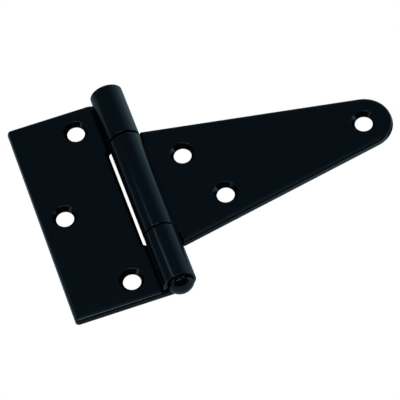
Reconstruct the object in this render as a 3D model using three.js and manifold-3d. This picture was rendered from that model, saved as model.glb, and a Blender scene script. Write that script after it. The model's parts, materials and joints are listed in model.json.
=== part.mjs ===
// T hinge: a tapered strap leaf and a wide butt leaf, each pressed from one blank of steel
// sheet, whose edges are rolled into knuckles round a riveted pin.
//
// Millimetres, +Z up. The hinge lies open and flat on its back: the backs of both leaves are in
// the plane z = 0, the pin runs along Y, the strap points along +X and the butt leaf along -X.
// The origin is on that plane, straight below the pin, halfway along the butt leaf's height.
import * as THREE from "three";
import { mergeVertices } from "three/addons/utils/BufferGeometryUtils.js";
import Module from "manifold-3d";

const wasm = await Module();
wasm.setup();

// ---- Driving dimensions ----

const SHEET = 2.5; // thickness of both leaves
const PIN_RADIUS = 4.35;
const PIN_CLEARANCE = 0.1; // all round the pin, inside the rolled knuckles
const KNUCKLE_ARC_DEG = 293; // how far the sheet is rolled, from flat, before its edge ends

const BUTT_HEIGHT = 99; // along the pin
const BUTT_EDGE_X = -44.05; // the butt leaf's outer edge
const BUTT_CORNER = 1.3; // radius of its outer corners
const NOTCH_TOP = 24.1; // the room between its two knuckles for the strap's knuckle
const NOTCH_BOTTOM = -24.3;
const NOTCH_EDGE_X = -7.8;
const NOTCH_CORNER = 1.5;
const UPPER_KNUCKLE_SHORT = 1.1; // how far the upper knuckle stops short of the leaf's top edge
const SHORT_FROM_X = -8.5; // the top edge slopes down to the knuckle between these two
const SHORT_TO_X = -3.5;
const LOWER_KNUCKLE_END = -25; // the lower knuckle stops this side of the notch's bottom edge
const STEP_FROM_X = -6.1; // that edge slopes down to the knuckle between these two
const STEP_TO_X = -5.6;

const STRAP_KNUCKLE_TOP = 23; // the strap's knuckle, from the strap's own centre line
const STRAP_KNUCKLE_BOTTOM = -23.85;
const STRAP_DROP = 0.3; // the strap rests this far down the pin, in its end play
const STRAP_BASE_HALF = 29.4; // half of the strap's height at its base
const STRAP_ROOT_X = 7.2; // where a shoulder starts, clear of the butt's sheet at full back swing
const STRAP_BASE_X = 7.7; // where it ends, at the strap's long edge
const STRAP_BASE_CORNER = 0.8;
const STRAP_RELIEF = 0.2; // inside corner where a shoulder meets the knuckle's root
const TIP_RADIUS = 12;
const TIP_X = 96.6; // centre of the round tip and of its screw hole

const SCREW_RADIUS = 3.7; // clear hole for a screw
const COUNTERSINK_RADIUS = 5.3; // at the front face
const COUNTERSINK_DEG = 82; // included angle
const BUTT_HOLES = [
  [-17.1, 38.4],
  [-33.7, 0],
  [-17.1, -38.4],
];
const STRAP_HOLES = [
  [21.2, 12.3],
  [31.7, -12.3],
  [TIP_X, 0],
];

// The pin's heads: radius, height above the seat, how full the section is (2 makes an ellipse, more
// squares the shoulder), gap to the knuckle and where the centre lies off the pin's axis [x, z].
const UPPER_HEAD = { radius: 5.5, rise: 1.6, fullness: 3, gap: 0.15, offset: [0, 0] };
const LOWER_HEAD = { radius: 5.3, rise: 3.4, fullness: 1.8, gap: 0.35, offset: [0.65, -1.2] };

const HEAD_BITE = 0.4; // how far the shank runs into each head

const ARC_SEGMENTS = 48; // facets in a full turn of a large round surface
const CORNER_SEGMENTS = 6;

// ---- Derived dimensions ----

const BORE_RADIUS = PIN_RADIUS + PIN_CLEARANCE;
const BARREL_RADIUS = BORE_RADIUS + SHEET; // also the height of the pin's axis above the backs
const KNUCKLE_ARC = THREE.MathUtils.degToRad(KNUCKLE_ARC_DEG);
const CLEAR = 1; // how far a cutting solid runs past what it cuts

// ---- Solids ----

function solidFrom(geometry) {
  geometry.deleteAttribute("normal");
  geometry.deleteAttribute("uv");
  const merged = mergeVertices(geometry, 1e-4);
  return new wasm.Manifold(
    new wasm.Mesh({
      numProp: 3,
      vertProperties: new Float32Array(merged.attributes.position.array),
      triVerts: new Uint32Array(merged.index.array),
    }),
  );
}

function geometryFrom(solid) {
  const mesh = solid.getMesh();
  const geometry = new THREE.BufferGeometry();
  geometry.setAttribute("position", new THREE.BufferAttribute(mesh.vertProperties, 3));
  geometry.setIndex(new THREE.BufferAttribute(mesh.triVerts, 1));
  geometry.computeVertexNormals();
  return geometry;
}

// A closed outline through the given corners [x, y, radius], each rounded to its radius.
function roundedOutline(corners) {
  const points = [];
  corners.forEach(([x, y, radius], i) => {
    const corner = new THREE.Vector2(x, y);
    if (!radius) {
      points.push(corner);
      return;
    }
    const before = corners.at(i - 1);
    const after = corners[(i + 1) % corners.length];
    const back = new THREE.Vector2(before[0], before[1]).sub(corner).normalize();
    const ahead = new THREE.Vector2(after[0], after[1]).sub(corner).normalize();
    const half = back.angleTo(ahead) / 2;
    const centre = back
      .clone()
      .add(ahead)
      .setLength(radius / Math.sin(half))
      .add(corner);
    const start = back.multiplyScalar(radius / Math.tan(half)).add(corner).sub(centre);
    const end = ahead.multiplyScalar(radius / Math.tan(half)).add(corner).sub(centre);
    const sweep = Math.sign(start.cross(end)) * (Math.PI - 2 * half);
    for (let k = 0; k <= CORNER_SEGMENTS; k++) {
      const turned = start.clone().rotateAround(new THREE.Vector2(), (sweep * k) / CORNER_SEGMENTS);
      points.push(turned.add(centre));
    }
  });
  return points;
}

// Everything above and below a plan outline, as a solid to trim a leaf with.
function planPrism(points) {
  const height = 2 * BARREL_RADIUS + 2 * CLEAR;
  const geometry = new THREE.ExtrudeGeometry(new THREE.Shape(points), {
    depth: height,
    bevelEnabled: false,
  });
  return solidFrom(geometry.translate(0, 0, -CLEAR));
}

// Sheet that lies flat from edgeX to below the pin, then rolls up and over it. side is -1 for a
// leaf that lies along -X and +1 for one along +X.
function rolledSheet(edgeX, length, side) {
  const steps = Math.round((ARC_SEGMENTS * KNUCKLE_ARC_DEG) / 360);
  const around = (radius, k) => {
    const turn = (KNUCKLE_ARC * k) / steps;
    return new THREE.Vector2(
      -side * radius * Math.sin(turn),
      BARREL_RADIUS - radius * Math.cos(turn),
    );
  };
  const outer = [];
  const inner = [];
  for (let k = 0; k <= steps; k++) {
    outer.push(around(BARREL_RADIUS, k));
    inner.push(around(BORE_RADIUS, steps - k));
  }
  const profile = [
    new THREE.Vector2(edgeX, 0),
    ...outer,
    ...inner,
    new THREE.Vector2(edgeX, SHEET),
  ];
  const geometry = new THREE.ExtrudeGeometry(new THREE.Shape(profile), {
    depth: length,
    bevelEnabled: false,
  });
  geometry.rotateX(Math.PI / 2); // the profile's height becomes Z, its depth -Y
  return solidFrom(geometry.translate(0, length / 2, 0));
}

// A screw hole with its countersink, open past both faces of the sheet.
function screwHole([x, y]) {
  const slope = Math.tan(THREE.MathUtils.degToRad(COUNTERSINK_DEG / 2));
  const land = SHEET - (COUNTERSINK_RADIUS - SCREW_RADIUS) / slope;
  const profile = [
    new THREE.Vector2(0, -CLEAR),
    new THREE.Vector2(SCREW_RADIUS, -CLEAR),
    new THREE.Vector2(SCREW_RADIUS, land),
    new THREE.Vector2(COUNTERSINK_RADIUS + CLEAR * slope, SHEET + CLEAR),
    new THREE.Vector2(0, SHEET + CLEAR),
  ];
  const geometry = new THREE.LatheGeometry(profile, ARC_SEGMENTS);
  geometry.rotateX(Math.PI / 2); // the lathe's axis, Y, becomes Z
  return solidFrom(geometry.translate(x, y, 0));
}

function withHoles(leaf, centres) {
  return centres.reduce((solid, centre) => solid.subtract(screwHole(centre)), leaf);
}

// Everything above the flat sheet between two places along the pin, to end the knuckles squarely.
function aboveSheet(from, to) {
  const side = 4 * BARREL_RADIUS;
  const geometry = new THREE.BoxGeometry(side, to - from, side);
  return solidFrom(geometry.translate(0, (from + to) / 2, SHEET + side / 2));
}

// ---- Pieces ----

function buttLeaf() {
  const top = BUTT_HEIGHT / 2;
  const past = BARREL_RADIUS + CLEAR;
  const upperEnd = top - UPPER_KNUCKLE_SHORT;
  const outline = roundedOutline([
    [BUTT_EDGE_X, -top, BUTT_CORNER],
    [past, -top, 0],
    [past, LOWER_KNUCKLE_END, 0],
    [STEP_TO_X, LOWER_KNUCKLE_END, 0],
    [STEP_FROM_X, NOTCH_BOTTOM, 0],
    [NOTCH_EDGE_X, NOTCH_BOTTOM, NOTCH_CORNER],
    [NOTCH_EDGE_X, NOTCH_TOP, NOTCH_CORNER],
    [past, NOTCH_TOP, 0],
    [past, upperEnd, 0],
    [SHORT_TO_X, upperEnd, 0],
    [SHORT_FROM_X, top, 0],
    [BUTT_EDGE_X, top, BUTT_CORNER],
  ]);
  const trimmed = rolledSheet(BUTT_EDGE_X, BUTT_HEIGHT, -1)
    .intersect(planPrism(outline))
    .subtract(aboveSheet(LOWER_KNUCKLE_END, NOTCH_TOP))
    .subtract(aboveSheet(upperEnd, upperEnd + past));
  return withHoles(trimmed, BUTT_HOLES);
}

// The strap's long edges run from its base corners to touch the round tip.
function strapOutline() {
  const reach = TIP_X - STRAP_BASE_X;
  const distance = Math.hypot(reach, STRAP_BASE_HALF);
  const tangent = Math.atan2(STRAP_BASE_HALF, -reach) - Math.acos(TIP_RADIUS / distance);
  const past = -BARREL_RADIUS - CLEAR;
  const tip = [];
  const steps = ARC_SEGMENTS / 2;
  for (let k = 0; k <= steps; k++) {
    const angle = -tangent + (2 * tangent * k) / steps;
    tip.push([TIP_X + TIP_RADIUS * Math.cos(angle), TIP_RADIUS * Math.sin(angle), 0]);
  }
  return roundedOutline([
    [past, STRAP_KNUCKLE_BOTTOM, 0],
    [STRAP_ROOT_X, STRAP_KNUCKLE_BOTTOM, STRAP_RELIEF],
    [STRAP_BASE_X, -STRAP_BASE_HALF, STRAP_BASE_CORNER],
    ...tip,
    [STRAP_BASE_X, STRAP_BASE_HALF, STRAP_BASE_CORNER],
    [STRAP_ROOT_X, STRAP_KNUCKLE_TOP, STRAP_RELIEF],
    [past, STRAP_KNUCKLE_TOP, 0],
  ]);
}

function strapLeaf() {
  const sheet = rolledSheet(TIP_X + TIP_RADIUS + CLEAR, 2 * STRAP_BASE_HALF + CLEAR, 1);
  return withHoles(sheet.intersect(planPrism(strapOutline())), STRAP_HOLES);
}

// A domed head, turned about the Y axis: flat at y = 0, crown towards +Y.
function pinHead({ radius, rise, fullness, offset }) {
  const power = 2 / fullness;
  const steps = ARC_SEGMENTS / 6;
  const section = [new THREE.Vector2(0, 0)];
  for (let k = 0; k < steps; k++) {
    const angle = ((Math.PI / 2) * k) / steps;
    section.push(
      new THREE.Vector2(radius * Math.cos(angle) ** power, rise * Math.sin(angle) ** power),
    );
  }
  section.push(new THREE.Vector2(0, rise));
  const geometry = new THREE.LatheGeometry(section, ARC_SEGMENTS);
  return solidFrom(geometry.translate(offset[0], 0, offset[1]));
}

// Shank along the Y axis with a head on each end, just clear of the butt leaf's knuckles.
function hingePin() {
  const upperSeat = BUTT_HEIGHT / 2 - UPPER_KNUCKLE_SHORT + UPPER_HEAD.gap;
  const lowerSeat = -BUTT_HEIGHT / 2 - LOWER_HEAD.gap;
  const shank = new THREE.CylinderGeometry(
    PIN_RADIUS,
    PIN_RADIUS,
    upperSeat - lowerSeat + 2 * HEAD_BITE,
    ARC_SEGMENTS,
  );
  shank.translate(0, (upperSeat + lowerSeat) / 2, 0);
  const upper = pinHead(UPPER_HEAD).translate([0, upperSeat, 0]);
  const lower = pinHead(LOWER_HEAD).mirror([0, 1, 0]).translate([0, lowerSeat, 0]);
  return solidFrom(shank).add(upper).add(lower);
}

// ---- Scene graph ----

function coatedSteel(colour) {
  return new THREE.MeshStandardMaterial({ color: colour, roughness: 0.42, metalness: 0.2 });
}

function piece(name, geometry, colour) {
  const mesh = new THREE.Mesh(geometry, coatedSteel(colour));
  mesh.name = name;
  return mesh;
}

const butt = piece("butt_leaf", geometryFrom(buttLeaf()), 0x14171a);
const strap = piece("strap_leaf", geometryFrom(strapLeaf()), 0x14171a);
strap.position.y = -STRAP_DROP;
const pin = piece("hinge_pin", geometryFrom(hingePin()), 0x17191c);
pin.position.z = BARREL_RADIUS;

const hinge = new THREE.Group();
hinge.add(butt, strap, pin);
export default hinge;
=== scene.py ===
"""A T hinge as it is pressed and rolled: two leaves of coated steel sheet and a riveted pin.

Metres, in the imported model's frame: the hinge lies flat on its back with the backs of both
leaves in the plane z = 0, the pin along Y, the strap leaf along +X and the butt leaf along -X.
"""

import json
from math import asin, atan2, ceil, cos, hypot, pi, radians, sin, tan

import bmesh
import bpy
from mathutils import Matrix, Vector


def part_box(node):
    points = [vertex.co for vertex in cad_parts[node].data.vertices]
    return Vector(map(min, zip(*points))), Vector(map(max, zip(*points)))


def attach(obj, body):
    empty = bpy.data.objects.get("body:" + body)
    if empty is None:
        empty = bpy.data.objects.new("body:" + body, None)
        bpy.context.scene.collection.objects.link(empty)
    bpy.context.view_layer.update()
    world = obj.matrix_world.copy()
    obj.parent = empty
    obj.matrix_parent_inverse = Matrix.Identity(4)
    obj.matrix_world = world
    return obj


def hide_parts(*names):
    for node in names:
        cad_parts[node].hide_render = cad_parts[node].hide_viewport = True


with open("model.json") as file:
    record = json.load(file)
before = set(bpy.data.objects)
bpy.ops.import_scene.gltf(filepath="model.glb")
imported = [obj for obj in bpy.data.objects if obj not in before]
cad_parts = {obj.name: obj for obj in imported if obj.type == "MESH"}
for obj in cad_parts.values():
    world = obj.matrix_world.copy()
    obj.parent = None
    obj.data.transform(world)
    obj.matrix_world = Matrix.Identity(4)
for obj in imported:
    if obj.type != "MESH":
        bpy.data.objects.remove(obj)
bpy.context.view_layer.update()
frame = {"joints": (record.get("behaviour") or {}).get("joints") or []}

MM = 0.001

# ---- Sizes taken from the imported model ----

PIN_HEIGHT = frame["joints"][0]["pos_m"][2]  # the pin's axis above the backs of the leaves
BARREL_RADIUS = PIN_HEIGHT
BUTT_LOW, BUTT_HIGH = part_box("butt_leaf")
STRAP_LOW, STRAP_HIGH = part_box("strap_leaf")
PIN_LOW, PIN_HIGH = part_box("hinge_pin")

# ---- Leaves ----

SHEET = 2.5 * MM
FLARE = 0.35 * MM  # sheared edges lean out from the front face to the back by this much
ROLL_FRONT = 1.0 * MM  # how round the shear left the edges of the front face
BOW_REACH = 1.6 * MM  # beyond the rounding the face still dips a little towards its edge
BOW_SLOPE = radians(7)  # at the rounding, fading to nothing over the reach
BOW_STEPS = 4
ROLL_BACK = 0.25 * MM
ROLL_STEPS = 6
SUPPORT = 0.15 * MM  # band of flat beside a rounded edge, which keeps the face's shading flat
SAME_PLACE = 1e-7  # a cut this close to a vertex goes through it
KNUCKLE_ARC = radians(293)  # how far the sheet is rolled before its edge ends
KNUCKLE_STEP = radians(5)  # about one facet of the roll
KNUCKLE_CORNER = 1.3 * MM  # corners of the rolled edge
HOLLOW_REACH = 1.2 * MM  # beside the barrel the leaf's front dips a little
HOLLOW_DEPTH = 0.16 * MM
HOLLOW_STEPS = 6
ROOT = 0.6 * MM  # where a knuckle's mesh meets its leaf's, just outside the pin's axis
ARC_STEP = radians(7)
TINY = 0.02 * MM  # radius of a corner's arc once its edge is inside the arc's centre

BUTT_CORNER = 1.4 * MM
SHORT_KNUCKLE = 1.1 * MM  # the upper knuckle stops this far short of the leaf's top edge
SHORT_FROM = 8.5 * MM  # the top edge slopes down to the knuckle between these two
SHORT_TO = 3.5 * MM
NOTCH_TOP = 24.1 * MM  # the notch between the knuckles, along the pin
NOTCH_BOTTOM = -24.3 * MM
LOWER_KNUCKLE_END = -25.0 * MM  # the lower knuckle stops short of the notch's bottom
STEP_FROM = 6.1 * MM  # the notch slopes down to that end between these two
STEP_TO = 5.6 * MM
NOTCH_EDGE = 7.6 * MM  # its far side, from the pin
NOTCH_TOP_CORNER = 1.5 * MM
NOTCH_BOTTOM_CORNER = 1.2 * MM

STRAP_KNUCKLE_TOP = 23.0 * MM  # along the pin, from the strap's own centre line
STRAP_KNUCKLE_BOTTOM = -23.55 * MM
STRAP_ROOT = 7.2 * MM  # where a shoulder starts, at the knuckle's end
STRAP_BASE = 7.7 * MM  # where it ends, at the strap's long edge
STRAP_BASE_HALF = 29.4 * MM
STRAP_BASE_CORNER = 0.8 * MM
STRAP_RELIEF = 0.2 * MM  # rounding of the inner corner at STRAP_ROOT
TIP_RADIUS = 12 * MM

# Screw holes, as distance from the pin along the leaf and place along the pin from the leaf's
# own centre line.
SCREW_RADIUS = 3.7 * MM
SCREW_LAND = 0.65 * MM  # straight part of the hole, at the back
COUNTERSINK_RADIUS = 5.3 * MM
HOLE_CREASE = 0.08 * MM  # softening of the crease between the land and the countersink
CONE_STARTS = (0.03, 0.12)  # shares of the cone; the second keeps its shading straight
HOLE_EDGE = 0.3 * MM  # rounding of a hole's two rims
HOLE_SEGMENTS = 72
BUTT_HOLES = [(17.1 * MM, 38.4 * MM), (33.7 * MM, 0), (17.1 * MM, -38.4 * MM)]
STRAP_HOLES = [(21.2 * MM, 12.3 * MM), (31.7 * MM, -12.3 * MM), (96.6 * MM, 0)]

# ---- Pin ----

PIN_RADIUS = 4.35 * MM
NECK_RADIUS = 3.4 * MM  # the pin is thinner just behind the lower head
NECK_REACH = 1.5 * MM  # into the barrel before it thickens, and again to its full size
HEAD_LIP = 0.25 * MM  # rounding under a head's rim
HEAD_BITE = 0.4 * MM  # how far the shank runs into each head
HEAD_STEPS = 28
PIN_SEGMENTS = 96

UPPER_SEAT = BUTT_HIGH.y - SHORT_KNUCKLE + 0.15 * MM  # the heads stand just off the barrel
LOWER_SEAT = BUTT_LOW.y - 0.35 * MM

# Each head's radius, where its seat is along Y, which way it domes, the rounding of its shoulder
# and how far off the pin's axis it was peened.
UPPER_HEAD = (5.5 * MM, UPPER_SEAT, 1, 1.0 * MM, (0, 0))
LOWER_HEAD = (5.3 * MM, LOWER_SEAT, -1, 0.6 * MM, (0.65 * MM, -1.2 * MM))


# ---- Outlines ----


def rounded(corners, depth=0):
    """A closed outline through (u, y, radius) corners, moved inwards by depth.

    The corners run counterclockwise and each one has an arc, which keeps its centre.
    """
    points = []
    for i, (u, y, radius) in enumerate(corners):
        corner = Vector((u, y))
        before = (corner - Vector(corners[i - 1][:2])).normalized()
        after = (Vector(corners[(i + 1) % len(corners)][:2]) - corner).normalized()
        inwards = Vector((-before.y - after.y, before.x + after.x)) / (1 + before.dot(after))
        corner += inwards * depth
        if not radius:
            points.append(corner)
            continue
        sweep = before.angle_signed(after) * -1
        radius = max(radius - depth, TINY) if sweep > 0 else radius + depth
        half = (pi - abs(sweep)) / 2
        centre = corner + (after - before).normalized() * (radius / sin(half))
        start = corner - before * (radius / tan(half)) - centre
        steps = ceil(abs(sweep) / ARC_STEP)
        for k in range(steps + 1):
            points.append(centre + Matrix.Rotation(sweep * k / steps, 2) @ start)
    return points


def circle(centre, radius):
    turns = [2 * pi * k / HOLE_SEGMENTS for k in range(HOLE_SEGMENTS)]
    return [Vector((centre[0] + radius * cos(a), centre[1] + radius * sin(a))) for a in turns]


def rolled_end(knuckle_low, knuckle_high, length):
    """Corners of the part of a blank that becomes one knuckle, down its low side first."""
    return [
        (ROOT, knuckle_low, 0),
        (-length, knuckle_low, KNUCKLE_CORNER),
        (-length, knuckle_high, KNUCKLE_CORNER),
        (ROOT, knuckle_high, 0),
    ]


def butt_corners(length):
    low, high, edge = BUTT_LOW.y, BUTT_HIGH.y, -BUTT_LOW.x
    upper_end = high - SHORT_KNUCKLE
    return (
        [(edge, low, BUTT_CORNER), (edge, high, BUTT_CORNER)]
        + [(SHORT_FROM, high, 0), (SHORT_TO, upper_end, 0)]
        + rolled_end(NOTCH_TOP, upper_end, length)[::-1]
        + [(NOTCH_EDGE, NOTCH_TOP, NOTCH_TOP_CORNER)]
        + [(NOTCH_EDGE, NOTCH_BOTTOM, NOTCH_BOTTOM_CORNER)]
        + [(STEP_FROM, NOTCH_BOTTOM, 0), (STEP_TO, LOWER_KNUCKLE_END, 0)]
        + rolled_end(low, LOWER_KNUCKLE_END, length)[::-1]
    )


def strap_corners(length):
    """The long edges run from the base corners to touch the round tip."""
    half = STRAP_BASE_HALF
    reach = STRAP_HIGH.x - TIP_RADIUS - STRAP_BASE
    taper = atan2(half, reach) - asin(TIP_RADIUS / hypot(half, reach))
    return [
        (STRAP_ROOT, STRAP_KNUCKLE_BOTTOM, STRAP_RELIEF),
        (STRAP_BASE, -half, STRAP_BASE_CORNER),
        (STRAP_BASE + half / tan(taper), 0, TIP_RADIUS),
        (STRAP_BASE, half, STRAP_BASE_CORNER),
        (STRAP_ROOT, STRAP_KNUCKLE_TOP, STRAP_RELIEF),
    ] + rolled_end(STRAP_KNUCKLE_BOTTOM, STRAP_KNUCKLE_TOP, length)[::-1]


# ---- Sections: (distance into the metal, height above the back) from back to front ----


def quarter(steps=ROLL_STEPS):
    return [pi / 2 * k / steps for k in range(steps + 1)]


def edge_section():
    """Sharp at the back, leaning in to a well rounded front that dips towards the edge."""
    back, front = -FLARE / 2, FLARE / 2
    dip = BOW_REACH * tan(BOW_SLOPE) / 2
    section = [(back + ROLL_BACK + SUPPORT, 0)]
    for turn in quarter():
        section.append((back + ROLL_BACK * (1 - sin(turn)), ROLL_BACK * (1 - cos(turn))))
    crest = SHEET - dip - ROLL_FRONT * (1 - cos(BOW_SLOPE))
    for turn in quarter():
        turn *= 1 - 2 * BOW_SLOPE / pi
        depth = front + ROLL_FRONT * (1 - cos(turn))
        section.append((depth, crest - ROLL_FRONT * (cos(BOW_SLOPE) - sin(turn))))
    start = section[-1][0]
    for k in range(1, BOW_STEPS + 1):
        along = k / BOW_STEPS
        section.append((start + BOW_REACH * along, SHEET - dip * (1 - along) ** 2))
    section.append((section[-1][0] + SUPPORT, SHEET))
    return section


def hole_section():
    """A deburred back edge, a straight land, the countersink and its softened rim."""
    rim = COUNTERSINK_RADIUS - SCREW_RADIUS
    cone = atan2(SHEET - SCREW_LAND, rim)
    reach = rim + HOLE_EDGE * tan(cone / 2)
    section = [(HOLE_EDGE + SUPPORT, 0)]
    for turn in quarter():
        section.append((HOLE_EDGE * (1 - sin(turn)), HOLE_EDGE * (1 - cos(turn))))
    section.append((0, SCREW_LAND - HOLE_CREASE))
    for share in CONE_STARTS:
        section.append((rim * share, SCREW_LAND + (SHEET - SCREW_LAND) * share))
    for turn in quarter():
        left = cone * (1 - 2 * turn / pi)
        section.append((reach - HOLE_EDGE * sin(left), SHEET - HOLE_EDGE * (1 - cos(left))))
    section.append((reach + SUPPORT, SHEET))
    return section


# ---- Meshes ----


def ring(bm, points, height):
    return [bm.verts.new((p.x, p.y, height)) for p in points]


def bridge(bm, lower, upper):
    for i, vert in enumerate(lower):
        bm.faces.new((lower[i - 1], vert, upper[i], upper[i - 1]))


def walled_loop(bm, outline_at, section):
    """The wall that a section makes along a closed outline; returns its back and front rings."""
    rings = [ring(bm, outline_at(depth), height) for depth, height in section]
    for lower, upper in zip(rings, rings[1:]):
        bridge(bm, lower, upper)
    return rings[0], rings[-1]


def fill_face(bm, outer, holes):
    """Closes one face of a blank: a plain polygon for each knuckle, the rest round the holes."""
    count = len(outer)
    start = next(i for i in range(count) if outer[i - 1].co.x < ROOT / 2 < outer[i].co.x)
    turned = outer[start:] + outer[:start]
    leaf, knuckle = [], []
    for vert in turned:
        if vert.co.x < ROOT / 2:
            knuckle = knuckle or [leaf[-1]]
            knuckle.append(vert)
            continue
        if knuckle:
            bm.faces.new(knuckle + [vert])
            knuckle = []
        leaf.append(vert)
    if knuckle:
        bm.faces.new(knuckle + [leaf[0]])
    edges = []
    for loop in [leaf] + holes:
        for i, vert in enumerate(loop):
            edges.append(bm.edges.get((loop[i - 1], vert)) or bm.edges.new((loop[i - 1], vert)))
    bmesh.ops.triangle_fill(bm, edges=edges, use_beauty=True)


def cut_across(bm, place):
    """Adds an edge loop right round a blank, parallel to the pin."""
    geometry = bm.verts[:] + bm.edges[:] + bm.faces[:]
    at, along = (place, 0, 0), (1, 0, 0)
    bmesh.ops.bisect_plane(bm, geom=geometry, dist=SAME_PLACE, plane_co=at, plane_no=along)


def roll_up(bm, side):
    """Bends the flat blank: what lies past the pin's axis curls up round it, front face inside.

    The front also gets its shallow hollow, deepest at the barrel.
    """
    middle = BARREL_RADIUS - SHEET / 2
    steps = round(KNUCKLE_ARC / KNUCKLE_STEP)
    for k in range(steps):
        cut_across(bm, -KNUCKLE_ARC * middle * k / steps)
    for k in range(1, HOLLOW_STEPS + 1):
        cut_across(bm, BARREL_RADIUS + HOLLOW_REACH * k / HOLLOW_STEPS)
    for vert in bm.verts:
        u, y, height = vert.co
        turn = max(0, -u) / middle
        if turn == 0:
            nearness = min(1, max(0, 1 - (u - BARREL_RADIUS) / HOLLOW_REACH))
            height -= HOLLOW_DEPTH * nearness**2 * height / SHEET
        radius = BARREL_RADIUS - height
        x = max(0, u) - radius * sin(turn)
        vert.co = (side * x, y, BARREL_RADIUS - radius * cos(turn))


def finish_piece(bm, name, body, node, material):
    bmesh.ops.recalc_face_normals(bm, faces=bm.faces[:])
    mesh = bpy.data.meshes.new(name)
    bm.to_mesh(mesh)
    bm.free()
    mesh.shade_smooth()
    mesh.materials.append(material)
    piece = bpy.data.objects.new(name, mesh)
    bpy.context.scene.collection.objects.link(piece)
    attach(piece, body)
    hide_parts(node)
    return piece


def leaf_mesh(corners_of, holes, side, shift):
    bm = bmesh.new()
    corners = corners_of(KNUCKLE_ARC * (BARREL_RADIUS - SHEET / 2))
    back, front = walled_loop(bm, lambda depth: rounded(corners, depth), edge_section())
    back_holes, front_holes = [], []
    for centre in holes:
        low, high = walled_loop(
            bm, lambda depth: circle(centre, SCREW_RADIUS + depth), hole_section()
        )
        back_holes.append(low)
        front_holes.append(high)
    fill_face(bm, back, back_holes)
    fill_face(bm, front, front_holes)
    roll_up(bm, side)
    bmesh.ops.translate(bm, verts=bm.verts[:], vec=(0, shift, 0))
    return bm


def lathe(bm, section, centre):
    """A closed solid turned about an axis along Y through the centre, which is (x, z).

    The section is (radius, y) places, of which the first and the last become poles.
    """
    turns = [2 * pi * k / PIN_SEGMENTS for k in range(PIN_SEGMENTS)]
    rings = []
    for radius, y in section[1:-1]:
        places = [(radius * cos(a), radius * sin(a)) for a in turns]
        rings.append([bm.verts.new((centre[0] + x, y, centre[1] + z)) for x, z in places])
    for near, far in zip(rings, rings[1:]):
        bridge(bm, near, far)
    for last, (_, y) in ((rings[0], section[0]), (rings[-1], section[-1])):
        pole = bm.verts.new((centre[0], y, centre[1]))
        for i, vert in enumerate(last):
            bm.faces.new((last[i - 1], vert, pole))


def head_section(radius, rise, shoulder):
    """(radius, height above the seat): out under the rim, round the shoulder, over the crown."""
    section = [(0, 0), (radius - HEAD_LIP - SUPPORT, 0)]
    section += [(radius - HEAD_LIP * (1 - sin(t)), HEAD_LIP * (1 - cos(t))) for t in quarter()]
    inner = radius - shoulder
    lean = 2 * atan2(rise - HEAD_LIP - shoulder, inner)  # slope of the crown where it starts
    for turn in quarter()[1:]:
        turn *= 1 - lean * 2 / pi
        section.append((inner + shoulder * cos(turn), HEAD_LIP + shoulder * sin(turn)))
    ball = shoulder + inner / sin(lean)
    for k in range(1, HEAD_STEPS):
        turn = lean * (1 - k / HEAD_STEPS)
        section.append((ball * sin(turn), rise - ball * (1 - cos(turn))))
    return section + [(0, rise)]


def pin_mesh():
    bm = bmesh.new()
    for head, crown in ((UPPER_HEAD, PIN_HIGH.y), (LOWER_HEAD, PIN_LOW.y)):
        radius, seat, way, shoulder, offset = head
        places = head_section(radius, abs(crown - seat), shoulder)
        centre = (offset[0], PIN_HEIGHT + offset[1])
        lathe(bm, [(r, seat + way * height) for r, height in places], centre)
    low, high = LOWER_SEAT - HEAD_BITE, UPPER_SEAT + HEAD_BITE
    neck = BUTT_LOW.y + NECK_REACH
    shank = [(0, low), (NECK_RADIUS, low), (NECK_RADIUS, neck)]
    shank += [(NECK_RADIUS + SUPPORT, neck + SUPPORT), (PIN_RADIUS, neck + NECK_REACH)]
    shank += [(PIN_RADIUS, high - SUPPORT), (PIN_RADIUS - SUPPORT, high), (0, high)]
    lathe(bm, shank, (0, PIN_HEIGHT))
    return bm


# ---- Materials ----


class Nodes:
    """Short ways to add and link shader nodes."""

    def __init__(self, tree):
        self.tree = tree
        tree.nodes.clear()

    def add(self, kind, inputs=None, **settings):
        node = self.tree.nodes.new("ShaderNode" + kind)
        for key, value in settings.items():
            setattr(node, key, value)
        for key, value in (inputs or {}).items():
            if isinstance(value, bpy.types.NodeSocket):
                self.tree.links.new(value, node.inputs[key])
            else:
                node.inputs[key].default_value = value
        return node

    def math(self, operation, *values):
        node = self.add("Math", dict(enumerate(values)), operation=operation)
        return node.outputs[0]

    def dot(self, first, second):
        node = self.add("VectorMath", {0: first, 1: second}, operation="DOT_PRODUCT")
        return node.outputs["Value"]

    def noise(self, place, scale, detail=2.0, roughness=0.5):
        inputs = {"Vector": place, "Scale": scale, "Detail": detail, "Roughness": roughness}
        return self.add("TexNoise", inputs).outputs["Fac"]

    def ramp(self, value, low, high, from_low=0.0, from_high=1.0, shape="LINEAR"):
        inputs = {"Value": value, "From Min": from_low, "From Max": from_high}
        inputs.update({"To Min": low, "To Max": high})
        return self.add("MapRange", inputs, interpolation_type=shape).outputs["Result"]

    def fade(self, value, band):
        """0 to 1 as the value crosses the band, eased at both ends."""
        return self.ramp(value, 0.0, 1.0, *band, "SMOOTHSTEP")

    def mix(self, factor, first, second):
        node = self.add("Mix", data_type="RGBA")
        for socket, value in zip((0, 6, 7), (factor, first, second)):
            if isinstance(value, bpy.types.NodeSocket):
                self.tree.links.new(value, node.inputs[socket])
            else:
                node.inputs[socket].default_value = value
        return node.outputs[2]


# Patterns in the coat, as waves or cells to the metre.
MOTTLE = 90.0
GRAIN = 2600.0
CLOUDS = 1400.0  # of roughness
PEEL = 620.0
FINE_PEEL = 2300.0
FINE_DEPTH = 0.2  # of the peel's depth
DUST_CELLS = 500.0

BLEND_BAND = (0.35, 0.65)  # from the deep colour to the pale one
CLOUD_BAND = (0.3, 0.7)
ROUGHNESS_SPREAD = 0.02

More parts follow.
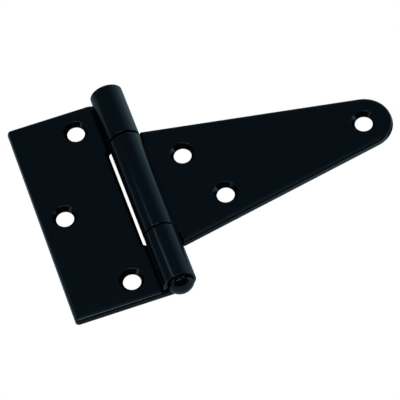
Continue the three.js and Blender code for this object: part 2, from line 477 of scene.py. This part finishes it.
DUST_COLOUR = (0.12, 0.13, 0.135, 1)
DUST_COVER = 0.7
DUST_SHARE = 0.03  # of the cells, how many hold a speck
DUST_SIZE = (0.04, 0.09)  # its core and its edge, in cells
DUST_HEIGHT = 0.03 * MM
DUST_ROUGHNESS = 0.2

WORN_COLOUR = (0.010, 0.014, 0.018, 1)
WORN_COVER = 0.5
WORN_WIDTH = 0.5 * MM
WORN_FACING = (0.86, 0.995)  # cosines between the surface and its rounded version
WORN_PATCHES = (0.42, 0.62)  # of the mottle


def dust_specks(nodes, place):
    """1 on the few specks of dust caught in the coat, 0 elsewhere."""
    cells = nodes.add("TexVoronoi", {"Vector": place, "Scale": DUST_CELLS, "Randomness": 1.0})
    near = nodes.ramp(cells.outputs["Distance"], 1.0, 0.0, *DUST_SIZE)
    chosen = nodes.add("SeparateColor", {"Color": cells.outputs["Color"]}).outputs[0]
    return nodes.math("MULTIPLY", near, nodes.math("GREATER_THAN", chosen, 1 - DUST_SHARE))


def edge_rub(nodes, mottle):
    """How far the coat is rubbed: only on edges, and there in patches."""
    soft = nodes.add("Bevel", {"Radius": WORN_WIDTH}, samples=6).outputs[0]
    facing = nodes.dot(soft, nodes.add("NewGeometry").outputs["Normal"])
    edge = nodes.ramp(facing, 1.0, 0.0, *WORN_FACING)
    return nodes.math("MULTIPLY", edge, nodes.ramp(mottle, 0.0, 1.0, *WORN_PATCHES))


def orange_peel(nodes, place, depth, specks):
    """Height of the coat's surface in metres: soft waves, a finer grain and the dust."""
    waves = nodes.math("MULTIPLY", nodes.noise(place, PEEL, 2.0, 0.45), depth)
    fine = nodes.math("MULTIPLY", nodes.noise(place, FINE_PEEL, 2.0), depth * FINE_DEPTH)
    bumps = nodes.math("MULTIPLY", specks, DUST_HEIGHT)
    return nodes.math("ADD", nodes.math("ADD", waves, fine), bumps)


def powder_coat(name, deep, pale, roughness, peel):
    """Black coat over steel: orange peel, faint mottling, dust in the coat, thin at the edges."""
    material = bpy.data.materials.new(name)
    material.use_nodes = True
    nodes = Nodes(material.node_tree)
    place = nodes.add("TexCoord").outputs["Object"]

    mottle = nodes.noise(place, MOTTLE, 3.0, 0.6)
    grain = nodes.noise(place, GRAIN, 1.0)
    half_mottle = nodes.math("MULTIPLY", mottle, 0.5)
    half_grain = nodes.math("MULTIPLY", grain, 0.5)
    blend = nodes.math("ADD", half_mottle, half_grain)
    specks = dust_specks(nodes, place)
    rub = edge_rub(nodes, mottle)
    colour = nodes.mix(nodes.ramp(blend, 0.0, 1.0, *BLEND_BAND), deep, pale)
    colour = nodes.mix(nodes.math("MULTIPLY", specks, DUST_COVER), colour, DUST_COLOUR)
    colour = nodes.mix(nodes.math("MULTIPLY", rub, WORN_COVER), colour, WORN_COLOUR)

    clouds = nodes.noise(place, CLOUDS, 2.0)
    smoothest, roughest = roughness - ROUGHNESS_SPREAD, roughness + ROUGHNESS_SPREAD
    rough = nodes.ramp(clouds, smoothest, roughest, *CLOUD_BAND)
    rough = nodes.math("ADD", rough, nodes.math("MULTIPLY", specks, DUST_ROUGHNESS))

    height = orange_peel(nodes, place, peel, specks)
    bump = nodes.add("Bump", {"Height": height, "Strength": 1.0, "Distance": 1.0})
    surface = {"Base Color": colour, "Roughness": rough, "Normal": bump.outputs[0], "IOR": 1.5}
    shader = nodes.add("BsdfPrincipled", surface)
    nodes.add("OutputMaterial", {"Surface": shader.outputs[0]})
    return material


# ---- Stage ----
#
# The camera sees white all round. The hinge is glossy and almost black, so what shows on it is
# what it reflects: a dim blue room above and a pale floor, painted to glow as though it lay right
# under it, brighter towards the light and with a painted shadow under the leaves.

WHITE = (1, 1, 1, 1)
TOWARD_LIGHT = (1.0, 0.2, 0)  # level, to the right and slightly behind

# Painted light: the floor glows for the hinge's reflections as a lit floor would, brighter towards
# the light.
FLOOR_LEFT = (0.165, 0.265, 0.33, 1)  # what the floor sends to the hinge, from its left
FLOOR_RIGHT = (0.42, 0.58, 0.68, 1)  # and from its right
FLOOR_BAND = (-0.01, 0.09)  # where the one turns into the other, along TOWARD_LIGHT
# Painted shadow: the floor's glow is this black under the leaves, where a real floor would lie in
# their shade.
PAINTED_SHADOW_COLOUR = (0.0, 0.0, 0.0, 1)
PAINTED_SHADOW_EDGE = (-0.2 * MM, 0.4 * MM)  # the shade under the leaves ends between these
SHADED_FROM = 0.05 * MM  # lower than this are the leaves' backs, which see the floor unshaded

# The room as the hinge sees it; ahead is the camera's side. Its bands are parts of a unit
# direction: its height, or how far it turns from ahead.
ROOM_AROUND = (0.046, 0.094, 0.14, 1)
ROOM_AHEAD = (0.007, 0.014, 0.020, 1)
HIGH_AHEAD = (0.034, 0.068, 0.100, 1)  # the same higher up
AHEAD_BAND = (-0.04, 0.16)
AHEAD_SPREAD = 0.6  # how fast the dark part ends sideways
HIGH_BAND = (0.45, 0.85)
CEILING = (0.14, 0.27, 0.37, 1)
CEILING_BAND = (0.87, 0.95)
WINDOW = (0.20, 0.38, 0.52, 1)  # a wide glow on the right
WINDOW_BAND = (-0.1, 0.6)  # along TOWARD_LIGHT
WINDOW_HEIGHT = (0.84, 0.2)  # from where it starts down to where it is full
SIDE_WINDOW = (0.7, 1.0, 1.2, 1)  # a small window low on each side, a little ahead
SIDE_WINDOW_TOWARD = (0.89, -0.37, 0.25)
SIDE_WINDOW_BAND = (0.978, 0.994)

FLOOR_SIZE = 8.0
FLOOR_CLEARANCE = 5 * MM
FLOOR_DROP = STRAP_HIGH.x - PIN_HEIGHT + FLOOR_CLEARANCE  # the strap swings clear of it


def floor_material():
    """Paper that is white to the camera, and clear from below so that it hides nothing.

    Its glow is painted light: it lights the hinge as though the hinge lay on it, brighter towards
    the light. What the hinge sees of it is looked up where the line of sight crosses z = 0, and is
    dark there in a painted shadow under the leaves.
    """
    material = bpy.data.materials.new("pale_floor")
    material.use_nodes = True
    nodes = Nodes(material.node_tree)
    geometry = nodes.add("NewGeometry").outputs
    climb = nodes.add("SeparateXYZ", {"Vector": geometry["Incoming"]}).outputs["Z"]
    back = nodes.math("DIVIDE", FLOOR_DROP, climb)
    step = nodes.add("VectorMath", {0: geometry["Incoming"], "Scale": back}, operation="SCALE")
    ends = {0: geometry["Position"], 1: step.outputs[0]}
    place = nodes.add("VectorMath", ends, operation="ADD").outputs[0]
    rightwards = nodes.fade(nodes.dot(place, TOWARD_LIGHT), FLOOR_BAND)
    glow = nodes.mix(rightwards, FLOOR_LEFT, FLOOR_RIGHT)

    path = nodes.add("LightPath").outputs
    fall = nodes.math("MULTIPLY", path["Ray Length"], climb)
    start = nodes.math("SUBTRACT", fall, FLOOR_DROP)
    above = nodes.math("GREATER_THAN", start, SHADED_FROM)
    # Painted shadow: for rays that start above the floor, the glow turns black under the leaves.
    shade = nodes.math("MULTIPLY", above, painted_shadow_mask(nodes, place))
    glow = nodes.mix(shade, glow, PAINTED_SHADOW_COLOUR)

    paper = nodes.add("Emission", {"Color": nodes.mix(path["Is Camera Ray"], glow, WHITE)})
    clear = nodes.add("BsdfTransparent")
    sides = {0: geometry["Backfacing"], 1: paper.outputs[0], 2: clear.outputs[0]}
    mixed = nodes.add("MixShader", sides)
    nodes.add("OutputMaterial", {"Surface": mixed.outputs[0]})
    return material


def painted_shadow_mask(nodes, place):
    """Mask of the floor's painted shadow: 1 under the open hinge on the plane z = 0, 0 outside it;
    the tip is taken as square.
    """
    axes = nodes.add("SeparateXYZ", {"Vector": place}).outputs
    along, across = axes["X"], nodes.math("ABSOLUTE", axes["Y"])

    slope = (STRAP_BASE_HALF - TIP_RADIUS) / (STRAP_HIGH.x - TIP_RADIUS - STRAP_BASE)
    narrowing = nodes.math("MULTIPLY", along, slope)
    half = nodes.math("SUBTRACT", STRAP_BASE_HALF + slope * STRAP_BASE, narrowing)
    beside = nodes.math("SUBTRACT", across, half)
    past_tip = nodes.math("SUBTRACT", along, STRAP_HIGH.x)
    before_strap = nodes.math("SUBTRACT", BARREL_RADIUS, along)
    strap = nodes.math("MAXIMUM", nodes.math("MAXIMUM", beside, past_tip), before_strap)

    middle = (BARREL_RADIUS + BUTT_LOW.x) / 2
    reach = (BARREL_RADIUS - BUTT_LOW.x) / 2
    off_middle = nodes.math("ABSOLUTE", nodes.math("SUBTRACT", along, middle))
    past_edge = nodes.math("SUBTRACT", off_middle, reach)
    past_end = nodes.math("SUBTRACT", across, BUTT_HIGH.y)
    butt = nodes.math("MAXIMUM", past_edge, past_end)

    return nodes.ramp(nodes.math("MINIMUM", strap, butt), 1.0, 0.0, *PAINTED_SHADOW_EDGE)


def make_floor():
    bm = bmesh.new()
    bmesh.ops.create_grid(bm, x_segments=8, y_segments=8, size=FLOOR_SIZE)
    bmesh.ops.translate(bm, verts=bm.verts[:], vec=(0, 0, -FLOOR_DROP))
    mesh = bpy.data.meshes.new("floor")
    bm.to_mesh(mesh)
    bm.free()
    mesh.materials.append(floor_material())
    floor = bpy.data.objects.new("floor", mesh)
    bpy.context.scene.collection.objects.link(floor)


def room(nodes, toward):
    """The dim room: dark on the camera's side, brighter overhead and on the right.

    It also has a small bright window low on each side.
    """
    axes = nodes.add("SeparateXYZ", {"Vector": toward}).outputs
    sideways = nodes.math("ABSOLUTE", axes["X"])
    turned = nodes.math("MULTIPLY_ADD", sideways, AHEAD_SPREAD, axes["Y"])
    around = nodes.fade(turned, AHEAD_BAND)
    ahead = nodes.mix(nodes.fade(axes["Z"], HIGH_BAND), ROOM_AHEAD, HIGH_AHEAD)
    wall = nodes.mix(around, ahead, ROOM_AROUND)
    wall = nodes.mix(nodes.fade(axes["Z"], CEILING_BAND), wall, CEILING)

    aside = nodes.fade(nodes.dot(toward, TOWARD_LIGHT), WINDOW_BAND)
    low = nodes.fade(axes["Z"], WINDOW_HEIGHT)
    glow = nodes.math("MULTIPLY", nodes.math("MULTIPLY", aside, low), around)
    wall = nodes.mix(glow, wall, WINDOW)

    mirrored = {"X": sideways, "Y": axes["Y"], "Z": axes["Z"]}
    mirrored = nodes.add("CombineXYZ", mirrored).outputs[0]
    side = nodes.fade(nodes.dot(mirrored, SIDE_WINDOW_TOWARD), SIDE_WINDOW_BAND)
    wall = nodes.mix(side, wall, SIDE_WINDOW)
    below = nodes.math("LESS_THAN", axes["Z"], 0.0)
    return nodes.mix(below, wall, FLOOR_RIGHT)


def make_world():
    world = bpy.data.worlds.new("studio")
    bpy.context.scene.world = world
    world.use_nodes = True
    nodes = Nodes(world.node_tree)
    toward = nodes.add("TexCoord").outputs["Generated"]
    seen = nodes.add("LightPath").outputs["Is Camera Ray"]
    background = nodes.add("Background", {"Color": nodes.mix(seen, room(nodes, toward), WHITE)})
    nodes.add("OutputWorld", {"Surface": background.outputs[0]})


def softbox(name, place, target, size, colour, power):
    light = bpy.data.lights.new(name, "AREA")
    light.shape = "RECTANGLE"
    light.size, light.size_y = size
    light.color = colour
    light.energy = power
    lamp = bpy.data.objects.new(name, light)
    lamp.location = place
    aim = Vector(target) - Vector(place)
    lamp.rotation_euler = aim.to_track_quat("-Z", "Y").to_euler()
    lamp.visible_camera = False
    bpy.context.scene.collection.objects.link(lamp)


def make_lights():
    """The softbox overhead draws thin lines on rounded edges, the strip the barrel's streak."""
    softbox(
        "zenith_softbox",
        place=(-0.42, -0.12, 1.2),
        target=(-0.42, -0.12, 0),
        size=(1.1, 0.26),
        colour=(0.72, 0.9, 1.0),
        power=4.0,
    )
    softbox(
        "window_strip",
        place=(-0.19, 0.15, 0.30),
        target=(0, -0.03, 0.01),
        size=(0.035, 0.11),
        colour=(0.35, 0.7, 1.0),
        power=0.02,
    )


# The camera stands AZIMUTH round from straight ahead (-Y) towards +X; a positive roll lifts its
# right side.
AZIMUTH, ELEVATION, ROLL = radians(-12.29), radians(57.25), radians(-7.49)
CAMERA_TARGET = Vector((0.0211, -0.0108, 0))
CAMERA_DISTANCE = 1.1315
CAMERA_LENS = 248.2
SENSOR_WIDTH = 36


def make_camera():
    data = bpy.data.cameras.new("camera")
    data.lens = CAMERA_LENS
    data.sensor_width = SENSOR_WIDTH
    camera = bpy.data.objects.new("camera", data)
    sight = (sin(AZIMUTH) * cos(ELEVATION), -cos(AZIMUTH) * cos(ELEVATION), sin(ELEVATION))
    back = Vector(sight)
    level = Vector((0, 0, 1)).cross(back).normalized()
    upright = back.cross(level)
    across = level * cos(ROLL) + upright * sin(ROLL)
    above = back.cross(across)
    turn = Matrix((across, above, back)).transposed().to_4x4()
    camera.matrix_world = Matrix.Translation(CAMERA_TARGET + back * CAMERA_DISTANCE) @ turn
    bpy.context.scene.collection.objects.link(camera)
    bpy.context.scene.camera = camera


# ---- The scene ----

leaf_coat = powder_coat(
    "leaf_powder_coat",
    deep=(0.0004, 0.0008, 0.0012, 1),
    pale=(0.0008, 0.0015, 0.0021, 1),
    roughness=0.19,
    peel=0.0016 * MM,
)
pin_coat = powder_coat(
    "pin_powder_coat",
    deep=(0.0004, 0.0008, 0.0011, 1),
    pale=(0.0008, 0.0014, 0.0020, 1),
    roughness=0.15,
    peel=0.0012 * MM,
)

strap_shift = (STRAP_HIGH.y + STRAP_LOW.y) / 2
butt = leaf_mesh(butt_corners, BUTT_HOLES, -1, 0)
finish_piece(butt, "butt_leaf_sheet", "butt_side", "butt_leaf", leaf_coat)
strap = leaf_mesh(strap_corners, STRAP_HOLES, 1, strap_shift)
finish_piece(strap, "strap_leaf_sheet", "strap_side", "strap_leaf", leaf_coat)
finish_piece(pin_mesh(), "riveted_pin", "butt_side", "hinge_pin", pin_coat)

make_floor()
make_world()
make_lights()
make_camera()
bpy.context.scene.view_settings.view_transform = "Standard"
